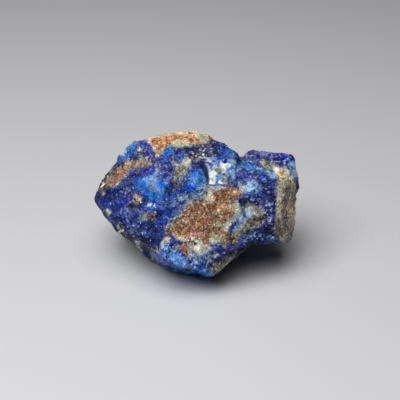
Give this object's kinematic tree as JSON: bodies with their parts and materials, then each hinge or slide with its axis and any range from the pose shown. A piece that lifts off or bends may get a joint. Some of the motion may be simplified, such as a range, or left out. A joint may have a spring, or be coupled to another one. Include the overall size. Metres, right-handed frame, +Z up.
{
  "type": "afghanite specimen",
  "caption": "Small irregular lump of blue afghanite and lazurite with white and rust-brown marble, for display or study.",
  "frame": {"origin": "centre of the bounding box's bottom, on the surface the stone rests on", "axes": "+Z up, +X along the length towards the smaller side lobe, -Y towards the best face"},
  "size_m": [0.0334, 0.0236, 0.0217],
  "materials": {
    "afghanite_stone": "broken, granular, slightly glassy"
  },
  "bodies": {
    "root": {"afghanite_stone": "afghanite_stone"}
  },
  "joints": []
}
